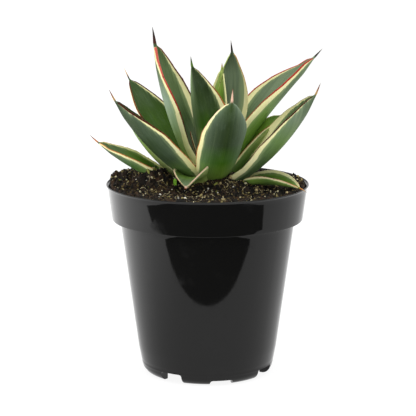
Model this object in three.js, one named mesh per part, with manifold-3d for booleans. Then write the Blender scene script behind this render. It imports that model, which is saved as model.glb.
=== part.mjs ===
// Potted agave: a compact variegated rosette in a black nursery pot, in millimetres with +Z up.
// The origin is on the pot's axis, at the height of the surface that the pot stands on.
// From the front, +X is right and +Y points away.
import * as THREE from "three";
import { mergeVertices } from "three/addons/utils/BufferGeometryUtils.js";
import Module from "manifold-3d";

const wasm = await Module();
wasm.setup();

// Pot
const LIP_RADIUS = 76;
const POT_HEIGHT = 144;
const LIP_DEPTH = 3.4;
const LIP_OVERHANG = 1.7;
const LIP_ROUND = 0.9;
const WALL = 1.5;
const BAND_BOTTOM_RADIUS = 70;
const BAND_BOTTOM_Z = 117.5;
const BODY_TOP_RADIUS = 65.1;
const BODY_BOTTOM_RADIUS = 50;
const CORNER_RADIUS = 7;
const CORNER_TURN = 82;
const CORNER_STEPS = 4;
const FOOT_WIDTH = 5;
const FOOT_DRAFT = 1.5;
const FLOOR_Z = 5.6;
const HEEL_Z = 11.6;
const POT_SEGMENTS = 48;

// Notches cut across the foot ring, as headings seen from above
const DEEP_NOTCH = { headings: [-122, -32, 58, 148], width: 13, height: 6 };
const SHALLOW_NOTCH = { headings: [-167, -77, 13, 103], width: 16, height: 2.6 };
const NOTCH_ROUND = 2;
const NOTCH_LENGTH = 30;
const DRAIN_RADIUS = 4.5;
const DRAIN_REACH = 28;

// Soil and stem. GAP is the clearance between pieces, and vertices closer than WELD are made one.
const GAP = 0.3;
const WELD = 5e-3;
const SOIL_Z = 140;
const SOIL_RINGS = [8, 17, 26, 35, 44, 53, 62];
const SOIL_SEGMENTS = 40;
// The soil's humps and hollows: a hump round the stem, a heap at the left, a hollow behind right
const MOUNDS = [
  { rise: 8, x: 7, y: -8, spreadX: 24, spreadY: 20 },
  { rise: 10, x: -58, y: 12, spreadX: 14, spreadY: 20 },
  { rise: -4, x: 48, y: 40, spreadX: 26, spreadY: 24 },
];
const STEM = { x: 5, y: -1, footZ: 118, crownZ: 162, footRadius: 13, crownRadius: 2.5 };

// Leaf sections
const ACROSS = 6;
const BLADE_STATIONS = [0, 0.06, 0.15, 0.27, 0.4, 0.53, 0.66, 0.78, 0.88, 0.95, 1];
const SPINE_STATIONS = [0.5, 1];
const EDGE_THICKNESS = 0.8;
const SPINE_RADIUS = 1.3;
const SPINE_TAPER = 0.72;

const deg = THREE.MathUtils.degToRad;

// One row for each leaf, from the innermost outwards, so that each is cleared round those above it.
// heading: where it points, seen from above. rise: its slope at the base and at the tip, in degrees.
// channel: half the angle that its section bends through, at the base, middle and tip.
// height and reach: where it starts, above the table and out from the stem's axis.
const LEAVES = [
  { name: "leaf_bud", heading: 73, sweep: -2, rise: [79, 77], length: 73, spine: 4, halfWidth: 11,
    widest: 0.44, base: 0.8, channel: [80, 74, 85], roll: -2, twist: 2, height: 157, reach: 3, thick: 3 },
  { name: "leaf_centre_left", heading: 242, sweep: -3, rise: [76, 66], length: 86, spine: 7, halfWidth: 20,
    widest: 0.52, base: 0.66, channel: [60, 50, 39], roll: 7, twist: 16, height: 156, reach: 4, thick: 4 },
  { name: "leaf_centre_back", heading: 52, sweep: 0, rise: [57, 100], length: 90, spine: 8, halfWidth: 13,
    widest: 0.52, base: 0.7, channel: [60, 40, 58], roll: -18, twist: -24, height: 156, reach: 4, thick: 4 },
  { name: "leaf_tallest", heading: 170, sweep: 0, rise: [60, 80], length: 105, spine: 12, halfWidth: 21,
    widest: 0.47, base: 0.66, channel: [60, 62, 48], roll: 13, twist: -6, height: 151, reach: 8, thick: 5 },
  { name: "leaf_back_upright", heading: 112, sweep: 0, rise: [58, 64], length: 56, spine: 8, halfWidth: 14,
    widest: 0.48, base: 0.7, channel: [58, 56, 56], roll: 0, twist: 0, height: 152, reach: 7, thick: 4 },
  { name: "leaf_right_high", heading: 30, sweep: 2, rise: [52, 34], length: 112, spine: 11, halfWidth: 18,
    widest: 0.45, base: 0.67, channel: [55, 61, 50], roll: 20, twist: -22, height: 155, reach: 6, thick: 5 },
  { name: "leaf_front_bent", heading: 243, sweep: 7, rise: [51, -38], length: 36, spine: 2, halfWidth: 17,
    widest: 0.48, base: 0.55, channel: [60, 62, 45], roll: -19, twist: 15, height: 146, reach: 18, thick: 3 },
  { name: "leaf_front", heading: 276, sweep: 12, rise: [22, 75], length: 94, spine: 9, halfWidth: 17,
    widest: 0.65, base: 0.87, channel: [55, 40, 51], roll: -16, twist: 20, height: 149, reach: 8, thick: 5 },
  { name: "leaf_left_high", heading: 142, sweep: -7, rise: [32, 52], length: 104, spine: 9, halfWidth: 17,
    widest: 0.55, base: 0.66, channel: [55, 52, 59], roll: 6, twist: 5, height: 147, reach: 10, thick: 5 },
  { name: "leaf_left_mid", heading: 210, sweep: 0, rise: [29, 57], length: 101, spine: 9, halfWidth: 22,
    widest: 0.52, base: 0.5, channel: [53, 64, 55], roll: 10, twist: 2, height: 146, reach: 10, thick: 5 },
  { name: "leaf_right_mid", heading: 331, sweep: 1, rise: [28, 62], length: 105, spine: 9, halfWidth: 20,
    widest: 0.52, base: 0.5, channel: [51, 62, 75], roll: -20, twist: -3, height: 145, reach: 10, thick: 5 },
  { name: "leaf_right_behind", heading: 5, sweep: -3, rise: [56, 39], length: 66, spine: 4, halfWidth: 15,
    widest: 0.66, base: 0.7, channel: [50, 50, 62], roll: 11, twist: -16, height: 146, reach: 11, thick: 4 },
  { name: "leaf_back_mid", heading: 98, sweep: 0, rise: [32, 46], length: 78, spine: 10, halfWidth: 18,
    widest: 0.5, base: 0.64, channel: [52, 56, 60], roll: 0, twist: 0, height: 146, reach: 11, thick: 5 },
  { name: "leaf_left_behind", heading: 170, sweep: 0, rise: [28, 57], length: 72, spine: 7, halfWidth: 17,
    widest: 0.5, base: 0.7, channel: [50, 54, 60], roll: 6, twist: -3, height: 142, reach: 12, thick: 5 },
  { name: "leaf_left_low", heading: 181, sweep: 2, rise: [15, 39], length: 84, spine: 8, halfWidth: 16,
    widest: 0.6, base: 0.68, channel: [48, 55, 68], roll: -2, twist: 8, height: 139, reach: 13, thick: 4 },
  { name: "leaf_back_low_left", heading: 122, sweep: 0, rise: [16, 34], length: 78, spine: 9, halfWidth: 16,
    widest: 0.52, base: 0.66, channel: [48, 54, 62], roll: 0, twist: 0, height: 141, reach: 13, thick: 5 },
  { name: "leaf_back_low_right", heading: 60, sweep: 0, rise: [14, 30], length: 76, spine: 9, halfWidth: 16,
    widest: 0.52, base: 0.66, channel: [48, 54, 62], roll: 0, twist: 0, height: 141, reach: 13, thick: 5 },
  { name: "leaf_right_low", heading: 339, sweep: -17, rise: [32, -18], length: 61, spine: 6, halfWidth: 11,
    widest: 0.49, base: 0.7, channel: [50, 41, 52], roll: -1, twist: -11, height: 141, reach: 13, thick: 4 },
];

// A closed three.js geometry as a manifold solid, with vertices closer than the tolerance made one.
function solidOf(geometry, tolerance = 1e-4) {
  const bare = new THREE.BufferGeometry();
  bare.setAttribute("position", geometry.getAttribute("position"));
  bare.setIndex(geometry.index);
  const merged = mergeVertices(bare, tolerance);
  const vertProperties = merged.attributes.position.array;
  const triVerts = new Uint32Array(merged.index.array);
  return new wasm.Manifold(new wasm.Mesh({ numProp: 3, vertProperties, triVerts }));
}

// A manifold solid's largest body as a three.js geometry: scraps that a cut leaves loose are dropped.
function geometryOf(solid) {
  const pieces = solid.decompose().sort((a, b) => b.volume() - a.volume());
  const mesh = pieces[0].getMesh();
  const geometry = new THREE.BufferGeometry();
  geometry.setAttribute("position", new THREE.BufferAttribute(mesh.vertProperties, 3));
  geometry.setIndex(new THREE.BufferAttribute(mesh.triVerts, 1));
  return geometry;
}

function finish(name, solid, color, roughness, metalness = 0) {
  const material = new THREE.MeshStandardMaterial({ color, roughness, metalness });
  const welded = geometryOf(solidOf(geometryOf(solid), WELD));
  welded.computeVertexNormals();
  const mesh = new THREE.Mesh(welded, material);
  mesh.name = name;
  return mesh;
}

// A profile of [radius, height] pairs turned round the Z axis.
function turned(profile, segments) {
  const points = profile.map(([r, z]) => new THREE.Vector2(r, z));
  return new THREE.LatheGeometry(points, segments).rotateX(Math.PI / 2);
}

// The outer wall's radius at a height above the rounded corner and below the band.
function bodyRadius(z) {
  const slope = (BODY_TOP_RADIUS - BODY_BOTTOM_RADIUS) / (BAND_BOTTOM_Z - CORNER_RADIUS);
  return BODY_BOTTOM_RADIUS + slope * (z - CORNER_RADIUS);
}

function bandRadius(z) {
  const top = LIP_RADIUS - LIP_OVERHANG;
  const slope = (top - BAND_BOTTOM_RADIUS) / (POT_HEIGHT - LIP_DEPTH - BAND_BOTTOM_Z);
  return BAND_BOTTOM_RADIUS + slope * (z - BAND_BOTTOM_Z);
}

// The pot in section: foot ring, rounded corner, tapered body, wider band, lip, then back down inside.
function potProfile() {
  const footOuter = BODY_BOTTOM_RADIUS - CORNER_RADIUS;
  const footInner = footOuter - FOOT_WIDTH;
  const profile = [[0, FLOOR_Z], [footInner - FOOT_DRAFT, FLOOR_Z], [footInner, 0]];
  for (let i = 0; i <= CORNER_STEPS; i++) {
    const turn = deg(-90 + (i * CORNER_TURN) / CORNER_STEPS);
    const r = footOuter + CORNER_RADIUS * Math.cos(turn);
    profile.push([r, CORNER_RADIUS + CORNER_RADIUS * Math.sin(turn)]);
  }
  const under = BAND_BOTTOM_Z;
  profile.push([bodyRadius(under), under], [BAND_BOTTOM_RADIUS - 1, under]);
  profile.push([BAND_BOTTOM_RADIUS, under + 1]);
  const lipFoot = POT_HEIGHT - LIP_DEPTH;
  profile.push([bandRadius(lipFoot), lipFoot], [LIP_RADIUS - LIP_ROUND, lipFoot]);
  profile.push([LIP_RADIUS, lipFoot + LIP_ROUND], [LIP_RADIUS, POT_HEIGHT - LIP_ROUND]);
  profile.push([LIP_RADIUS - LIP_ROUND, POT_HEIGHT], [bandRadius(POT_HEIGHT) - WALL, POT_HEIGHT]);
  profile.push([bandRadius(lipFoot) - WALL, lipFoot]);
  profile.push([BAND_BOTTOM_RADIUS - WALL, under + WALL], [bodyRadius(under) - WALL, under + WALL]);
  profile.push([bodyRadius(HEEL_Z) - WALL, HEEL_Z], [footOuter, FLOOR_Z + WALL]);
  profile.push([0, FLOOR_Z + WALL]);
  return profile;
}

// A cutter for one notch: a round-topped opening drawn out along the radius.
function notchCutter(width, height, heading) {
  const round = Math.min(NOTCH_ROUND, height - GAP);
  const half = width / 2;
  const shape = new THREE.Shape();
  shape.moveTo(-half - 1, -2);
  shape.lineTo(-half, 0);
  shape.lineTo(-half, height - round);
  shape.quadraticCurveTo(-half, height, -half + round, height);
  shape.lineTo(half - round, height);
  shape.quadraticCurveTo(half, height, half, height - round);
  shape.lineTo(half, 0);
  shape.lineTo(half + 1, -2);
  shape.closePath();
  const cutter = new THREE.ExtrudeGeometry(shape, { depth: NOTCH_LENGTH, bevelEnabled: false, curveSegments: 3 });
  cutter.rotateX(Math.PI / 2);
  cutter.rotateZ(Math.PI / 2);
  cutter.translate(BODY_BOTTOM_RADIUS - CORNER_RADIUS - FOOT_WIDTH - 4, 0, 0);
  cutter.rotateZ(deg(heading));
  return solidOf(cutter);
}

function drainCutter(heading) {
  const cutter = new THREE.CylinderGeometry(DRAIN_RADIUS, DRAIN_RADIUS, 8, 16);
  cutter.rotateX(Math.PI / 2);
  const turn = deg(heading);
  cutter.translate(DRAIN_REACH * Math.cos(turn), DRAIN_REACH * Math.sin(turn), FLOOR_Z);
  return solidOf(cutter);
}

function makePot() {
  let pot = solidOf(turned(potProfile(), POT_SEGMENTS));
  for (const { headings, width, height } of [DEEP_NOTCH, SHALLOW_NOTCH]) {
    for (const heading of headings) pot = pot.subtract(notchCutter(width, height, heading));
  }
  for (const heading of DEEP_NOTCH.headings) pot = pot.subtract(drainCutter(heading));
  return pot;
}

// The soil's surface: level, raised or lowered by each mound, with low clods all over.
function soilHeight(x, y) {
  let z = SOIL_Z + 0.7 * Math.sin(0.31 * x + 1.1) * Math.cos(0.27 * y - 0.4) + 0.5 * Math.sin(0.53 * (x - y));
  for (const mound of MOUNDS) {
    const across = (x - mound.x) / mound.spreadX;
    const back = (y - mound.y) / mound.spreadY;
    z += mound.rise * Math.exp(-(across * across + back * back) / 2);
  }
  return z;
}

// Rows of equal closed loops joined into one body, each end closed by a strip between the loop's halves.
function loft(rows) {
  const count = rows[0].length;
  const faces = [];
  const quad = (a, b, c, d) => faces.push(a, b, c, a, c, d);
  for (let i = 0; i + 1 < rows.length; i++) {
    for (let k = 0; k < count; k++) {
      const next = (k + 1) % count;
      quad(i * count + k, i * count + next, (i + 1) * count + next, (i + 1) * count + k);
    }
  }
  const last = (rows.length - 1) * count;
  for (let k = 0; k + 1 < count / 2; k++) {
    const [near, far] = [count - 1 - k, count - 2 - k];
    quad(near, far, k + 1, k);
    quad(last + k, last + k + 1, last + far, last + near);
  }
  const geometry = new THREE.BufferGeometry().setFromPoints(rows.flat());
  geometry.setIndex(faces);
  return geometry;
}

// A ring of the soil: its radius, and either a height or the surface's own height.
function soilRow(radius, z) {
  const row = [];
  for (let k = 0; k < SOIL_SEGMENTS; k++) {
    const turn = (2 * Math.PI * k) / SOIL_SEGMENTS;
    const [x, y] = [radius * Math.cos(turn), radius * Math.sin(turn)];
    row.push(new THREE.Vector3(x, y, z ?? soilHeight(x, y)));
  }
  return row;
}

// The soil fills the pot from its floor, GAP clear of the wall and a little more for the wall's facets.
function makeSoil() {
  const clear = WALL + GAP;
  const stepZ = BAND_BOTTOM_Z + clear;
  const floorZ = FLOOR_Z + clear;
  const footOuter = BODY_BOTTOM_RADIUS - CORNER_RADIUS;
  const rimZ = SOIL_Z - 4;
  const facet = 0.3;
  const rows = [soilRow(footOuter / 2, floorZ), soilRow(footOuter - 1, floorZ)];
  rows.push(soilRow(bodyRadius(HEEL_Z) - clear - facet, HEEL_Z));
  rows.push(soilRow(bodyRadius(stepZ) - clear - facet, stepZ - facet));
  rows.push(soilRow(bodyRadius(stepZ) - clear - facet, stepZ + facet));
  rows.push(soilRow(BAND_BOTTOM_RADIUS - clear - facet, stepZ + facet));
  rows.push(soilRow(bandRadius(rimZ) - clear - facet, rimZ));
  rows.push(soilRow(bandRadius(rimZ) - clear - 1));
  for (const radius of [...SOIL_RINGS].reverse()) rows.push(soilRow(radius));
  return solidOf(loft(rows));
}

function makeStem(grow = 0) {
  const { x, y, footZ, crownZ, footRadius, crownRadius } = STEM;
  const shoulderZ = SOIL_Z - 2;
  const profile = [[0, footZ - grow], [footRadius - 4 + grow, footZ - grow]];
  profile.push([footRadius + grow, shoulderZ], [crownRadius + grow, crownZ + grow], [0, crownZ + 1 + grow]);
  return solidOf(turned(profile, 20).translate(x, y, 0));
}

// The midrib: from the stem outwards, with heading and slope that turn evenly along the length.
function midrib(leaf) {
  const steps = 120;
  const start = deg(leaf.heading);
  const at = new THREE.Vector3(STEM.x + leaf.reach * Math.cos(start), STEM.y + leaf.reach * Math.sin(start));
  at.z = leaf.height;
  const points = [at.clone()];
  for (let i = 0; i < steps; i++) {
    at.addScaledVector(along(leaf, (i + 0.5) / steps), leaf.length / steps);
    points.push(at.clone());
  }
  return (s) => {
    const last = points[steps].clone();
    if (s >= 1) return last.addScaledVector(along(leaf, 1), (s - 1) * leaf.length);
    if (s < 0) return points[0].clone().addScaledVector(along(leaf, 0), s * leaf.length);
    const whole = Math.floor(s * steps);
    return points[whole].clone().lerp(points[whole + 1], s * steps - whole);
  };
}

function along(leaf, s) {
  const t = THREE.MathUtils.clamp(s, 0, 1);
  const rise = deg(leaf.rise[0] + (leaf.rise[1] - leaf.rise[0]) * t);
  const heading = deg(leaf.heading + leaf.sweep * t);
  const level = Math.cos(rise);
  return new THREE.Vector3(level * Math.cos(heading), level * Math.sin(heading), Math.sin(rise));
}

// Half the blade's width, measured round its curve. Past s = 1 it is the spine's tapering radius.
function halfWidth(leaf, s) {
  const spineShare = leaf.spine / leaf.length;
  const radius = SPINE_RADIUS * (1 - SPINE_TAPER * Math.max(0, (s - 1) / spineShare));
  if (s >= 1) return radius;
  const grown = leaf.base + (1 - leaf.base) * Math.sin((Math.PI / 2) * (s / leaf.widest));
  const narrowed = Math.cos((Math.PI / 2) * ((s - leaf.widest) / (1 - leaf.widest)));
  return Math.hypot(leaf.halfWidth * (s < leaf.widest ? grown : narrowed), radius);
}

function thickness(leaf, s) {
  const blade = leaf.thick * (1 - 0.55 * THREE.MathUtils.clamp(s, 0, 1) ** 0.8);
  const blend = THREE.MathUtils.smoothstep(s, 0.75, 1);
  return blade + (2 * halfWidth(leaf, Math.max(s, 1)) - blade) * blend;
}

function channelAngle(leaf, s) {
  const t = Math.min(s, 1);
  const [base, middle, tip] = leaf.channel;
  return deg(middle + (base - middle) * (1 - t) ** 3 + (tip - middle) * t ** 3);
}

// One section as a closed loop: the hollow inner face from edge to edge, then the rounded outer face back.
function leafSection(leaf, path, s, grow) {
  const forward = along(leaf, s);
  const heading = deg(leaf.heading + leaf.sweep * THREE.MathUtils.clamp(s, 0, 1));
  const side = new THREE.Vector3(Math.sin(heading), -Math.cos(heading), 0);
  const face = side.clone().cross(forward);
  const turn = deg(leaf.roll + leaf.twist * Math.min(s, 1));
  const across = side.clone().multiplyScalar(Math.cos(turn)).addScaledVector(face, Math.sin(turn));
  const inward = face.clone().multiplyScalar(Math.cos(turn)).addScaledVector(side, -Math.sin(turn));
  const half = halfWidth(leaf, s);
  const bend = channelAngle(leaf, s);
  const middle = thickness(leaf, s);
  const edge = Math.min(EDGE_THICKNESS, middle * 0.5);
  const inner = [];
  const outer = [];
  for (let j = 0; j <= ACROSS; j++) {
    const u = -1 + (2 * j) / ACROSS;
    const angle = u * bend;
    const thick = edge + (middle - edge) * (1 - u * u) ** 0.7;
    const beyond = Math.abs(u) === 1 ? grow * u : 0;
    const [nx, nz] = [Math.sin(angle), -Math.cos(angle)];
    const x = (half / bend) * Math.sin(angle) - beyond * nz;
    const z = (half / bend) * (1 - Math.cos(angle)) + beyond * nx;
    const centre = path(s);
    const place = (depth) =>
      centre.clone().addScaledVector(across, x + depth * nx).addScaledVector(inward, z + depth * nz);
    inner.push(place(-grow));
    outer.unshift(place(thick + grow));
  }
  return [...inner, ...outer];
}

function makeLeaf(leaf, grow = 0) {
  const path = midrib(leaf);
  const spineShare = leaf.spine / leaf.length;
  const stations = [...BLADE_STATIONS, ...SPINE_STATIONS.map((t) => 1 + t * spineShare)];
  stations[0] -= grow / leaf.length;
  stations[stations.length - 1] += grow / leaf.length;
  return solidOf(loft(stations.map((s) => leafSection(leaf, path, s, grow))));
}

const plant = new THREE.Group();

const pot = makePot();
const stem = makeStem();
plant.add(finish("pot", pot, 0x161616, 0.25));
plant.add(finish("stem", stem, 0x9aa86a, 0.7));

// Each leaf is cut clear of the stem and of the leaves inside it.
const taken = [makeStem(GAP)];
for (const leaf of LEAVES) {
  let blade = makeLeaf(leaf);
  for (const neighbour of taken) {
    if (blade.intersect(neighbour).volume() > 0) blade = blade.subtract(neighbour);
  }
  taken.push(makeLeaf(leaf, GAP));
  plant.add(finish(leaf.name, blade, 0x4f6b50, 0.5));
}

// The soil has a plain hole or dent for the stem and for each leaf that reaches it.
let soil = makeSoil();
for (const sunk of taken) {
  if (soil.intersect(sunk).volume() > 0) soil = soil.subtract(sunk);
}
plant.add(finish("soil", soil, 0x2b211a, 0.95));

export default plant;
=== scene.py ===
"""Looks of a potted agave: a variegated rosette with cream margins and dark spines in a glossy black nursery pot.

Sizes in this file are in millimetres unless they say otherwise, and are made metres as a mesh is written. The origin
is on the pot's axis at the height of the surface that it stands on, +X is right and +Y points away.
"""

import math
from types import SimpleNamespace

import bmesh
import bpy
import numpy as np
from bpy.props import FloatProperty, FloatVectorProperty, IntProperty, PointerProperty
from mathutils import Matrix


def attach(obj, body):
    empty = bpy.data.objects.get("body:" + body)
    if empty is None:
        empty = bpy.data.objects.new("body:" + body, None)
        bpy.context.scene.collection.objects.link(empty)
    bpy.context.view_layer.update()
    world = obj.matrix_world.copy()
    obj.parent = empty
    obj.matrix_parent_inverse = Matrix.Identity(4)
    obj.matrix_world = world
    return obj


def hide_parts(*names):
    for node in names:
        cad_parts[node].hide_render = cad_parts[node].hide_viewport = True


bl_info = {
    "name": "Potted agave",
    "version": (1, 0, 0),
    "blender": (4, 5, 0),
    "location": "3D View > Sidebar > Agave",
    "description": "Builds a potted variegated agave round its packed solids",
    "category": "Add Mesh",
}

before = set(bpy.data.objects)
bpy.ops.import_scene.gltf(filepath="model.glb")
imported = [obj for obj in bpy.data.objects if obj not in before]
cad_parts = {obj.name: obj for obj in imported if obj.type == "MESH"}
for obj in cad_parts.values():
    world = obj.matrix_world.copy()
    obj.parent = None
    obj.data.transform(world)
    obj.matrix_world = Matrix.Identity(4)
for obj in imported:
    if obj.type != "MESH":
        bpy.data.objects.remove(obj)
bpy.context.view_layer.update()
MM = 0.001

# Stage: the outline on the floor of the dark card that the pot mirrors and the card's height, half the floor's side,
# the floor's own light, and the camera's sensor with the photo's focal length and width in pixels
CARD_EDGE = (
    (-420, -1900), (420, -1900), (420, -205), (340, -169), (288, -143), (252, -166),
    (200, -168), (-200, -168), (-262, -166), (-360, -132), (-420, -112),
)
CARD_Z = 0.4
FLOOR_HALF = 9000
FLOOR_GLOW = 0.9
SENSOR = 36
PHOTO_FOCAL = 2036
PHOTO_WIDTH = 416

# Pot: TUCK is how far the wall's foot lies inside its straight line, and CORNER_TURN how far its rounded corner turns
LIP_RADIUS = 76.0
POT_HEIGHT = 144.0
LIP_DEPTH = 1.8
LIP_OVERHANG = 1.2
LIP_WIDTH = 1.0
WALL = 1.2
BAND_FOOT = (71.5, 117.5)
BODY_TOP = 65.6
BODY_FOOT = 50.4
CORNER_RADIUS = 7.0
CORNER_TURN = 82.0
TUCK = 0.9
TUCK_Z = 20.0
FOOT_WIDTH = 1.8
FOOT_DRAFT = -2.0
FLOOR_Z = 7.2
HEEL_Z = 11.6
FLOOR_RING = 34.0
CLEARANCE = 0.3
# Notches across the foot ring, tall and low by turns: heading in degrees, half width, height. NOTCH_GAP is the number
# of columns between two of them.
NOTCHES = (
    (-124, 9.2, 7.5), (-77.2, 8.6, 3.8), (-28.5, 9.8, 7.5), (29, 8.6, 3.8),
    (74, 8.2, 7.5), (110, 8.6, 3.8), (146, 8.2, 7.5), (191, 8.6, 3.8),
)
NOTCH_GAP = 10
NOTCH_ROUND = 2.0
DRAIN_RADIUS = 4.5
DRAIN_REACH = 28.0

# Soil: level, rise at the wall and the radii that it grows between, mounds as rise, x, y, spread in x and spread in y,
# the rough heap's x, y and spreads, clods as size across and height, the radii within which the surface and the crumbs,
# grains and fibres on it lie, the steps along a fibre, and the surface's rings and spokes
SOIL_Z = 141.4
WALL_RISE = (2.0, 58, 72)
MOUNDS = (
    (9, 7, -8, 20, 19), (8.5, -55, 9, 11, 18), (-1.0, 42, 36, 22, 20),
    (1.2, 66, 16, 10, 26), (14, -38, -13, 9.5, 9), (5, 20, -17, 13, 9),
)
HEAP = (-55, 6, 18, 26)
CLODS = ((11.0, 1.5), (6.5, 1.4), (3.6, 1.0), (2.0, 0.6))
SOIL_RADIUS = 73.2
SCATTER_RADIUS = 72.3
GRAIN_RADIUS = 68
FIBRE_RADIUS = 64
FIBRE_STEPS = 8
SOIL_RINGS = 150
SOIL_SPOKES = 460
# Colours of loose soil, 0 to 255 in sRGB, and the share of the pieces up to which each but the last is used
CRUMB_TONES = ((12, 10, 7), (34, 24, 15), (96, 80, 44), (160, 146, 96), (222, 212, 170)), (0.5, 0.75, 0.88, 0.955)
BARK_TONES = ((22, 18, 12), (66, 44, 26), (116, 104, 56), (172, 156, 104), (214, 204, 164)), (0.5, 0.72, 0.87, 0.955)
STRAW_TONES = (70, 56, 34), (150, 132, 88), (206, 192, 150)
STEM = SimpleNamespace(x=5.0, y=-1.0, foot_z=118.0, crown_z=162.0, foot_radius=13.0, crown_radius=2.5)

# Leaf sections: thickness at the edge, distance between rows, columns across a face, rows of a spine,
# steps along the midrib, and the first leaf's start of its random draws
EDGE = 0.8
ROW_STEP = 0.45
ACROSS = 31
SPINE_ROWS = 18
MIDRIB_STEPS = 480
LEAF_SEED = 100
# Shares of a blade's length: where it starts to thin to the spine and to turn round, and between which its teeth fade
# out and its cream and coloured lines close
THIN_FROM = 0.82
ROUND_FROM = 0.94
TEETH_FADE = (0.86, 0.99)
LINES_CLOSE = (0.965, 0.995)
LEAF_FIELDS = (
    "heading sweep rise_base rise_tip length spine half_width widest base "
    "channel_base channel_mid channel_tip roll twist height reach thick"
).split()
# One row for each leaf, near those of the solids: angles in degrees, lengths in millimetres
LEAVES = {
    "bud": (73, -2, 79, 77, 73, 4, 11, 0.44, 0.8, 80, 74, 85, -2, 2, 157, 3, 3),
    "centre_left": (242, -3, 76, 66, 86, 7, 20, 0.52, 0.66, 60, 50, 39, 7, 16, 156, 4, 4),
    "centre_back": (52, 0, 57, 100, 90, 8, 13, 0.52, 0.7, 60, 40, 58, -18, -24, 156, 4, 4),
    "tallest": (170, 0, 60, 80, 105, 12, 21, 0.47, 0.66, 60, 62, 48, 13, -6, 151, 8, 7),
    "back_upright": (112, 0, 58, 64, 56, 8, 14, 0.48, 0.7, 58, 56, 56, 0, 0, 152, 7, 4),
    "right_high": (30, 2, 52, 35, 116, 8.6, 18, 0.45, 0.67, 55, 61, 50, 20, -22, 155, 6, 7),
    "front_bent": (243, 7, 51, -38, 36, 2, 17, 0.48, 0.55, 60, 62, 45, -19, 15, 146, 18, 3),
    "front": (276, 12, 22, 75, 94, 9, 17, 0.65, 0.87, 55, 40, 51, -16, 20, 149, 8, 5),
    "left_high": (142, -7, 32, 52, 104, 9, 17, 0.55, 0.66, 55, 52, 59, 6, 5, 147, 10, 5),
    "left_mid": (210, 0, 29, 57, 101, 9, 22, 0.52, 0.5, 53, 64, 55, 10, 2, 146, 10, 5),
    "right_mid": (331, 1, 28, 62, 105, 9, 20, 0.52, 0.5, 51, 62, 75, -20, -3, 145, 10, 5),
    "right_behind": (5, -3, 56, 39, 66, 4, 15, 0.66, 0.7, 50, 50, 62, 11, -16, 146, 11, 4),
    "back_mid": (98, 0, 32, 46, 78, 10, 18, 0.5, 0.64, 52, 56, 60, 0, 0, 146, 11, 5),
    "left_behind": (170, 0, 28, 57, 72, 7, 17, 0.5, 0.7, 50, 54, 60, 6, -3, 142, 12, 5),
    "left_low": (181, 2, 15, 39, 84, 8, 16, 0.6, 0.68, 48, 55, 68, -2, 8, 139, 13, 4),
    "back_low_left": (122, 0, 16, 34, 78, 9, 16, 0.52, 0.66, 48, 54, 62, 0, 0, 141, 13, 5),
    "back_low_right": (60, 0, 14, 30, 76, 9, 16, 0.52, 0.66, 48, 54, 62, 0, 0, 141, 13, 5),
    "right_low": (339, -17, 27, -14, 61, 6, 11, 0.49, 0.7, 62, 68, 70, -1, -11, 140.0, 13, 4),
}

# Colours, 0 to 255 in sRGB
PALETTE = dict(
    cream=(236, 231, 172), ivory=(244, 240, 214), pine=(42, 70, 10), night=(26, 48, 2), forest=(52, 80, 18),
    slate=(60, 80, 44), leaf=(88, 120, 42), deep=(42, 58, 30), moss=(88, 108, 70), sage=(104, 120, 94),
    frost=(140, 160, 138), fern=(62, 102, 20), dew=(160, 186, 138), fresh=(124, 160, 60), lime=(178, 196, 110),
    red=(168, 40, 34), coral=(198, 92, 80), maroon=(64, 14, 10), brown=(118, 58, 28), orange=(204, 124, 62),
    pink=(232, 190, 168), tan=(190, 152, 98), dark=(38, 28, 22), grey=(128, 120, 110),
)

# How each leaf looks where it differs from PLAIN. Lists run from the base to the tip in even steps, and commas part the
# lists of one entry. Margin a is the one at the heading's left hand and margin b at its right.
# inner, outer, spine: their colours. The greens of inner and outer are partly the leaf's own and partly painted light
# and shade: paler (fresh, lime, dew) where a face lies in shade near the base, and darker (night, deep) where the sheen
# and the light from the left fall on it. edges: colours of the lines along a and b. tooth: colour of the teeth.
# bands: widths of the cream on the inner face at a and b and on the outer face at a and b
# lines: half widths of the coloured lines along a and b
# teeth: their spacing and height. veil: width of the paler skin beside the cream.
# flank_sheen: the painted sheen at the rims, how far the outer face turns to the colour named by rim towards a and b,
# and then the inner face
# swell: how far the margins at a and b stand out from their usual line
# hook: how far the spine's tip bends in. slim: half the spine's width at its foot.
PLAIN = dict(
    inner="forest leaf forest slate", outer="leaf forest forest slate moss", edges="brown, brown",
    spine="brown dark grey",
    bands=", ".join(["3.4 3.2 2.8 2 1.2 .3"] * 4), lines=".5, .5",
    teeth=(8.0, 0.2), tooth="maroon", veil=1.6, flank_sheen=(0.3, 0.3, 0, 0), rim="frost", swell="0, 0", hook=0.0, slim=0.9,
)
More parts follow.
